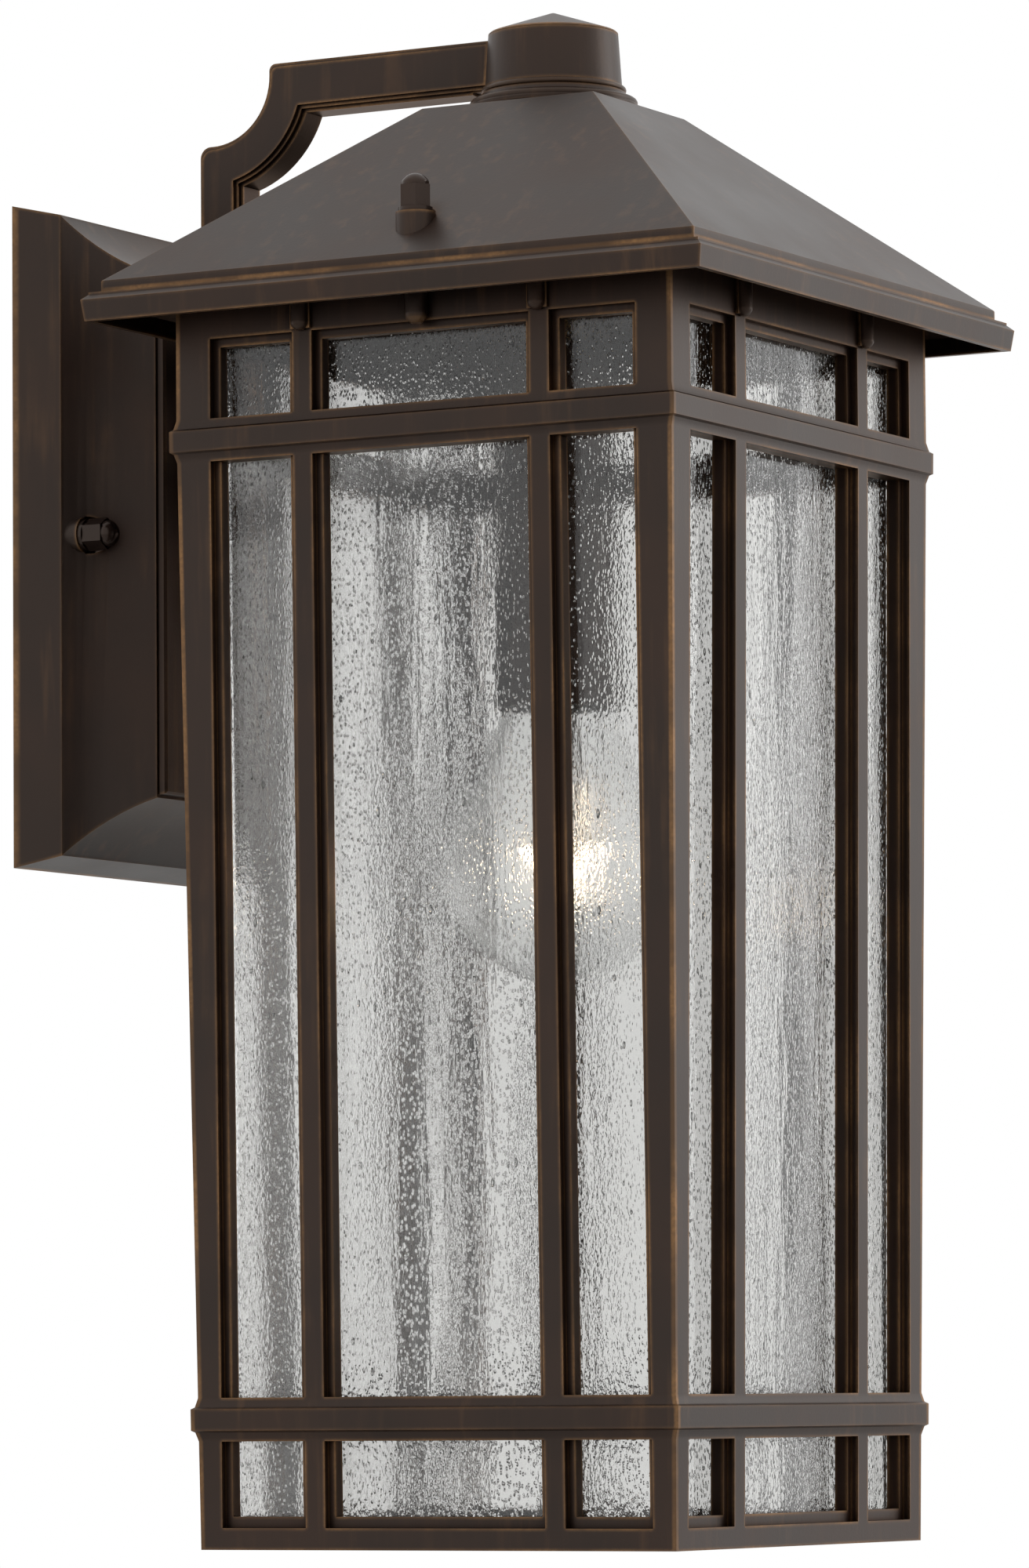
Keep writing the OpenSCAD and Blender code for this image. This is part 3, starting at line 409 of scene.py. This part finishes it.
def plain_finish(name, colour, roughness, peel=700.0, depth=0.03 * MM, **sockets):
    """A moulded, glazed or sprayed surface with a faint change of tone."""
    material, nodes, links, shader = new_material(name)
    coords = object_coords(nodes)
    tone = add_noise(nodes, links, coords, 90.0, 4.0)
    skin = add_noise(nodes, links, coords, peel, 2.0)
    shade = [c * 0.8 for c in colour]
    links.new(mix_colour(nodes, links, tone, shade, colour), shader.inputs["Base Color"])
    links.new(rescale(nodes, links, skin, roughness * 0.8, min(1.0, roughness * 1.25)),
              shader.inputs["Roughness"])
    links.new(add_bump(nodes, links, skin, depth, 0.5), shader.inputs["Normal"])
    for label, value in sockets.items():
        shader.inputs[label.replace("_", " ")].default_value = value
    return material


def seeded_glass_finish(colours):
    """Rolled seeded glass: specks and fine upright dimples over a slower ripple."""
    material, nodes, links, shader = new_material("seeded_glass")
    coords = object_coords(nodes)
    shader.inputs["Base Color"].default_value = (*colours.glass, 1)
    shader.inputs["Transmission Weight"].default_value = 1.0
    shader.inputs["IOR"].default_value = 1.5
    shader.inputs["Roughness"].default_value = 0.03
    fine = add_noise(nodes, links, coords, DIMPLE_SCALE, 2.0)
    streak = add_noise(nodes, links, coords, STREAK_SCALE)
    patch = ramp(nodes, links, add_noise(nodes, links, coords, PATCH_SCALE), 0.42, 0.60)
    normal = add_bump(nodes, links, streak, STREAK_DEPTH)
    dimples = maths(nodes, links, "MULTIPLY", fine, rescale(nodes, links, patch, 0.12, 1.0))
    normal = add_bump(nodes, links, dimples, DIMPLE_DEPTH, after=normal)
    specks = add_specks(nodes, links, coords, SPECK_SCALE, SPECK_SIZE)
    normal = add_bump(nodes, links, specks, SPECK_DEPTH, after=normal)
    links.new(normal, shader.inputs["Normal"])
    return material


def clear_glass_finish():
    """Blown bulb glass, softened a little by its glow."""
    material, nodes, links, shader = new_material("clear_glass")
    shader.inputs["Base Color"].default_value = (0.98, 0.985, 0.985, 1)
    shader.inputs["Transmission Weight"].default_value = 1.0
    shader.inputs["IOR"].default_value = 1.48
    shader.inputs["Roughness"].default_value = 0.1
    ripple = add_noise(nodes, links, object_coords(nodes), 40.0, 1.0)
    links.new(add_bump(nodes, links, ripple, 0.15 * MM, 0.3), shader.inputs["Normal"])
    return material


def filament_finish(lit):
    """Tungsten wire, which glows where it is lit."""
    material, nodes, links, shader = new_material("tungsten")
    tone = add_noise(nodes, links, object_coords(nodes), 400.0, 2.0)
    links.new(mix_colour(nodes, links, tone, (0.12, 0.11, 0.10), (0.3, 0.28, 0.26)),
              shader.inputs["Base Color"])
    shader.inputs["Metallic"].default_value = 1.0
    shader.inputs["Roughness"].default_value = 0.45
    if lit:
        shader.inputs["Emission Color"].default_value = (*GLOW_COLOUR, 1)
        shader.inputs["Emission Strength"].default_value = GLOW_STRENGTH
    return material


# ---- Mesh helpers ----

def finish_mesh(name, bm, material, body, replaces=()):
    """Turns a bmesh into a piece that rides on a body and stands for CAD nodes."""
    mesh = bpy.data.meshes.new(name)
    bm.to_mesh(mesh)
    bm.free()
    mesh.materials.append(material)
    mesh.shade_smooth()
    mesh.set_sharp_from_angle(angle=CRISP_ANGLE)
    piece = bpy.data.objects.new(name, mesh)
    bpy.context.scene.collection.objects.link(piece)
    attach(piece, body)
    if replaces:
        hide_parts(*replaces)
    return piece


def dress(node, material, edge_round=0.0):
    """Gives a CAD node its finish. Modifiers ease its edges, and its mesh is left alone."""
    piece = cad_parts[node]
    piece.data.materials.clear()
    piece.data.materials.append(material)
    for polygon in piece.data.polygons:
        polygon.material_index = 0
    piece.data.shade_smooth()
    weld = piece.modifiers.new("Weld", "WELD")
    weld.merge_threshold = WELD_DISTANCE
    if edge_round > 0:
        flat = piece.modifiers.new("Flats", "DECIMATE")
        flat.decimate_type = "DISSOLVE"
        flat.angle_limit = FLAT_ANGLE
        bevel = piece.modifiers.new("Eased edges", "BEVEL")
        bevel.width = edge_round
        bevel.segments = 2
        bevel.limit_method = "ANGLE"
        bevel.angle_limit = EASED_ANGLE
        bevel.use_clamp_overlap = True
        even = piece.modifiers.new("Even shading", "WEIGHTED_NORMAL")
        even.weight = FLAT_WEIGHT
    else:
        split = piece.modifiers.new("Crisp edges", "EDGE_SPLIT")
        split.split_angle = CRISP_ANGLE


def add_mesh(bm, part):
    """Adds a second bmesh to the first, and frees the second."""
    mesh = bpy.data.meshes.new("part")
    part.to_mesh(mesh)
    part.free()
    bm.from_mesh(mesh)
    bpy.data.meshes.remove(mesh)


def node_box(node):
    """The corners of a CAD node's box."""
    points = [v.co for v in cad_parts[node].data.vertices]
    return (Vector([min(p[i] for p in points) for i in range(3)]),
            Vector([max(p[i] for p in points) for i in range(3)]))


def pane_frame(node, axis):
    """Where a leaning pane stands: its foot, half width, lean, way out and thickness."""
    points = [v.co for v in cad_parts[node].data.vertices]
    lo, hi = node_box(node)
    away = (lo + hi) / 2 - axis
    out = Vector((math.copysign(1, away.x), 0, 0) if abs(away.x) > abs(away.y)
                 else (0, math.copysign(1, away.y), 0))
    side = Vector((0, 0, 1)).cross(out)
    foot = [p for p in points if p.z < lo.z + 0.1 * MM]
    head = [p for p in points if p.z > hi.z - 0.1 * MM]
    face = max(p.dot(out) for p in foot)
    thick = face - min(p.dot(out) for p in foot)
    spread = [p.dot(side) for p in foot]
    across = (max(spread) + min(spread)) / 2
    origin = out * face + side * across + Vector((0, 0, lo.z))
    lean = out * (max(p.dot(out) for p in head) - face) + Vector((0, 0, hi.z - lo.z))
    return origin, side * ((max(spread) - min(spread)) / 2), lean, out, thick


def build_pane(bm, place, sizes, seed):
    """A rolled pane whose two faces wander a little, with bubbles drawn out upwards inside it."""
    origin, half, lean, out, thick = place
    bmesh.ops.create_grid(bm, x_segments=PANE_COLUMNS, y_segments=PANE_ROWS, size=1.0)
    outer = list(bm.verts)
    grown = bmesh.ops.extrude_face_region(bm, geom=list(bm.faces), use_keep_orig=True)["geom"]
    inner = [v for v in grown if isinstance(v, bmesh.types.BMVert)]
    for skin, way, depth in ((outer, -1, 0.0), (inner, 1, thick)):
        for vert in skin:
            x, y = vert.co.x, (vert.co.y + 1) / 2
            ripple = noise.noise(Vector((x * 4 + way, y * 5, seed + 3.0 * way)))
            drift = noise.noise(Vector((x * 9, y * 22, seed - 7.0 * way)))
            dent = sizes.glass_wave * (0.5 + 0.3 * ripple + 0.2 * drift)
            vert.co = origin + half * x + lean * y + out * (way * dent - depth)
    bubbles = bmesh.new()
    chance = random.Random(seed)
    for _ in range(sizes.seed_count):
        x, y = chance.uniform(-0.96, 0.96), chance.uniform(0.01, 0.99)
        radius = sizes.seed_radius * (0.35 + 0.65 * chance.random() ** 2)
        tall = radius * chance.uniform(1.2, 2.6)
        centre = origin + half * x + lean * y - out * (thick / 2)
        stretch = Matrix.Diagonal((radius, radius, tall, 1.0))
        bmesh.ops.create_uvsphere(bubbles, u_segments=8, v_segments=5, radius=1.0,
                                  matrix=Matrix.Translation(centre) @ stretch)
    add_mesh(bm, bubbles)
    bmesh.ops.recalc_face_normals(bm, faces=list(bm.faces))


def build_helix(bm, radius, wire_r, pitch, turns, steps, sides, matrix):
    """A round wire wound on the Z axis from z = 0, then moved by the matrix."""
    start = Matrix.Translation((radius, 0, 0)) @ Matrix.Rotation(math.radians(90), 4, "X")
    ring = bmesh.ops.create_circle(bm, cap_ends=False, segments=sides, radius=wire_r,
                                   matrix=start)["verts"]
    edges = {e for v in ring for e in v.link_edges}
    count = round(turns * steps)
    bmesh.ops.spin(bm, geom=[*ring, *edges], cent=(0, 0, 0), axis=(0, 0, 1),
                   dvec=(0, 0, pitch / steps), angle=2 * math.pi * turns, steps=count,
                   use_merge=False, use_duplicate=False)
    bmesh.ops.holes_fill(bm, edges=[e for e in bm.edges if e.is_boundary], sides=0)
    bmesh.ops.recalc_face_normals(bm, faces=list(bm.faces))
    bmesh.ops.transform(bm, matrix=matrix, verts=list(bm.verts))


def build_rod(bm, a, b, radius, sides=10):
    """A straight round rod between two points."""
    along = b - a
    turned = along.to_track_quat("Z", "Y").to_matrix().to_4x4()
    bmesh.ops.create_cone(bm, cap_ends=True, segments=sides, radius1=radius, radius2=radius,
                          depth=along.length, matrix=Matrix.Translation((a + b) / 2) @ turned)


# ---- Operators ----

class LANTERN_OT_castings(Operator):
    """Finish the bronze castings, nuts, washers and the lampholder's sleeve"""
    bl_idname = "lantern.castings"
    bl_label = "Castings"

    def execute(self, context):
        sizes, colours = context.scene.lantern_sizes, context.scene.lantern_colours
        rubbed = bronze_finish("oil_rubbed_bronze", colours, 0.9)
        even = bronze_finish("glossy_bronze", colours, 0.0, 0.16, 0.26)
        for node in CASTINGS:
            dress(node, rubbed, sizes.edge_round)
        for node in SMALL_BRONZE:
            dress(node, even)
        return {"FINISHED"}


class LANTERN_OT_panes(Operator):
    """Roll the four seeded panes"""
    bl_idname = "lantern.panes"
    bl_label = "Glass panes"

    def execute(self, context):
        sizes = context.scene.lantern_sizes
        glass = seeded_glass_finish(context.scene.lantern_colours)
        corners = [corner for node in PANES for corner in node_box(node)]
        axis = sum(corners, Vector()) / len(corners)
        for seed, node in enumerate(PANES, 11):
            bm = bmesh.new()
            build_pane(bm, pane_frame(node, axis), sizes, seed)
            finish_mesh("seeded_" + node, bm, glass, "cage",
                        replaces=(node,))
        return {"FINISHED"}


class LANTERN_OT_bulb(Operator):
    """Finish the bulb, wind its filament and roll its thread"""
    bl_idname = "lantern.bulb"
    bl_label = "Bulb"

    def execute(self, context):
        sizes, colours = context.scene.lantern_sizes, context.scene.lantern_colours
        clear = clear_glass_finish()
        aluminium = metal_finish("rolled_aluminium", (0.72, 0.72, 0.7), 0.2, 0.4)
        dress("bulb_globe", clear)
        dress("bulb_stem", clear)
        dress("bulb_base", aluminium)

        lo, hi = node_box("bulb_base")
        rim = Vector(((lo.x + hi.x) / 2, (lo.y + hi.y) / 2, lo.z + THREAD_RISE))
        bm = bmesh.new()
        build_helix(bm, (hi.x - lo.x) / 2 - THREAD_SINK, THREAD_WIRE, sizes.thread_pitch,
                    THREAD_TURNS, 48, 8, Matrix.Translation(rim))
        finish_mesh("bulb_thread", bm, aluminium, "bulb")

        # the coil makes a V between two side props and one in the middle, which are all
        # set in the glass stem
        lo, hi = node_box("bulb_filament")
        x, y, top = (lo.x + hi.x) / 2, (lo.y + hi.y) / 2, hi.z - PROP_SINK
        bottom = Vector((x, y, lo.z - sizes.coil_drop))
        bm = bmesh.new()
        props = bmesh.new()
        build_rod(props, Vector((x, y, top)), bottom, PROP_RADIUS)
        for way in (-1, 1):
            corner = Vector((x, y + way * sizes.coil_spread, lo.z + sizes.coil_drop))
            build_rod(props, Vector((x, y + way * PROP_GAP, top)), corner, PROP_RADIUS)
            fall = bottom - corner
            turned = fall.to_track_quat("Z", "Y").to_matrix().to_4x4()
            part = bmesh.new()
            build_helix(part, COIL_RADIUS, COIL_WIRE, sizes.coil_pitch,
                        fall.length / sizes.coil_pitch, 12, 6,
                        Matrix.Translation(corner) @ turned)
            add_mesh(bm, part)
        finish_mesh("bulb_coil", bm, filament_finish(colours.lit), "bulb",
                    replaces=("bulb_filament",))
        nickel = metal_finish("nickel_wire", (0.6, 0.58, 0.54), 0.25, 0.4)
        finish_mesh("bulb_props", props, nickel, "bulb")
        return {"FINISHED"}


class LANTERN_OT_fittings(Operator):
    """Finish the hidden fittings: straps, studs, screws, porcelain, leads and gasket"""
    bl_idname = "lantern.fittings"
    bl_label = "Fittings"

    def execute(self, context):
        zinc = metal_finish("zinc_plate", (0.62, 0.62, 0.58), 0.28, 0.5)
        brass = metal_finish("plain_brass", (0.72, 0.52, 0.24), 0.25, 0.45)
        for node in ZINC_PLATED:
            dress(node, zinc)
        for node in BRASS:
            dress(node, brass)
        dress("ground_screw",
              plain_finish("green_screw", (0.03, 0.22, 0.08), 0.4, Metallic=0.6))
        dress("lampholder_body",
              plain_finish("porcelain", (0.8, 0.78, 0.72), 0.2, Coat_Weight=0.5))
        dress("wall_gasket",
              plain_finish("foam", (0.03, 0.03, 0.03), 0.9, peel=1500.0, depth=0.3 * MM))
        dress("supply_leads", plain_finish("lead_sheath", (0.75, 0.75, 0.72), 0.5))
        dress("earth_lead", metal_finish("bare_copper", (0.75, 0.36, 0.18), 0.25, 0.45))
        return {"FINISHED"}


class LANTERN_OT_stage(Operator):
    """Set the floor, the soft light and the camera"""
    bl_idname = "lantern.stage"
    bl_label = "Stage"

    def execute(self, context):
        add_floor(context.scene.lantern_colours.floor)
        add_lights()
        add_camera()
        return {"FINISHED"}


def add_floor(colour):
    """A plain round floor well below the lantern."""
    bm = bmesh.new()
    bmesh.ops.create_circle(bm, cap_ends=True, segments=96, radius=FLOOR_RADIUS)
    bmesh.ops.translate(bm, verts=bm.verts, vec=(0, 0, cad_lo.z - FLOOR_DROP))
    mesh = bpy.data.meshes.new("floor")
    bm.to_mesh(mesh)
    bm.free()
    floor = bpy.data.objects.new("floor", mesh)
    bpy.context.scene.collection.objects.link(floor)
    mesh.materials.append(plain_finish("floor_paint", tuple(colour), 0.8, peel=8.0))


def add_lights():
    """A pale room and one large soft light in front."""
    world = bpy.data.worlds.new("studio")
    bpy.context.scene.world = world
    world.use_nodes = True
    back = world.node_tree.nodes["Background"]
    back.inputs["Color"].default_value = (1.0, 1.0, 1.0, 1)
    back.inputs["Strength"].default_value = 1.0
    light = bpy.data.lights.new("front_light", "AREA")
    light.shape = "SQUARE"
    light.size = LIGHT_SIDE
    light.energy = LIGHT_POWER
    lamp = bpy.data.objects.new("front_light", light)
    lamp.location = (cad_lo + cad_hi) / 2 + LIGHT_OFFSET
    lamp.rotation_euler = (-LIGHT_OFFSET).to_track_quat("-Z", "Y").to_euler()
    bpy.context.scene.collection.objects.link(lamp)


def add_camera():
    """The camera stands to the left, a little below the middle, and looks slightly up."""
    ahead = Vector((math.cos(CAMERA_TURN), math.sin(CAMERA_TURN), 0))
    forward = ahead * math.cos(CAMERA_LIFT) + Vector((0, 0, math.sin(CAMERA_LIFT)))
    level = Vector((math.sin(CAMERA_TURN), -math.cos(CAMERA_TURN), 0))
    upright = level.cross(forward)
    right = level * math.cos(CAMERA_TILT) + upright * math.sin(CAMERA_TILT)
    up = upright * math.cos(CAMERA_TILT) - level * math.sin(CAMERA_TILT)
    lens = bpy.data.cameras.new("camera")
    lens.sensor_width = CAMERA_SENSOR
    lens.lens = CAMERA_LENS
    lens.clip_start = 0.05
    camera = bpy.data.objects.new("camera", lens)
    turned = Matrix((right, up, -forward)).transposed().to_4x4()
    camera.matrix_world = Matrix.Translation(CAMERA_PLACE) @ turned
    bpy.context.scene.collection.objects.link(camera)
    bpy.context.scene.camera = camera


class LANTERN_PT_looks(Panel):
    """The lantern's finishing steps"""
    bl_label = "Wall Lantern"
    bl_idname = "LANTERN_PT_looks"
    bl_space_type = "VIEW_3D"
    bl_region_type = "UI"
    bl_category = "Lantern"

    def draw(self, context):
        layout = self.layout
        for group in (context.scene.lantern_sizes, context.scene.lantern_colours):
            for prop in group.bl_rna.properties:
                if not prop.is_readonly and prop.identifier != "name":
                    layout.prop(group, prop.identifier)
        for operator in STEPS:
            layout.operator(operator.bl_idname)


STEPS = (LANTERN_OT_castings, LANTERN_OT_panes, LANTERN_OT_bulb, LANTERN_OT_fittings,
         LANTERN_OT_stage)
CLASSES = (LanternSizes, LanternColours, *STEPS, LANTERN_PT_looks)


def register():
    """Adds the classes and the scene's two sets of values."""
    for cls in CLASSES:
        bpy.utils.register_class(cls)
    bpy.types.Scene.lantern_sizes = PointerProperty(type=LanternSizes)
    bpy.types.Scene.lantern_colours = PointerProperty(type=LanternColours)


def unregister():
    """Takes away what register added."""
    del bpy.types.Scene.lantern_colours
    del bpy.types.Scene.lantern_sizes
    for cls in reversed(CLASSES):
        bpy.utils.unregister_class(cls)


def main():
    """Builds every piece and the stage."""
    for starter in ("Cube", "Camera", "Light"):
        if starter in bpy.data.objects:
            bpy.data.objects.remove(bpy.data.objects[starter])
    register()
    bpy.context.scene.view_settings.view_transform = "Standard"
    bpy.ops.lantern.castings()
    bpy.ops.lantern.panes()
    bpy.ops.lantern.bulb()
    bpy.ops.lantern.fittings()
    bpy.ops.lantern.stage()


if __name__ == "__main__":
    main()
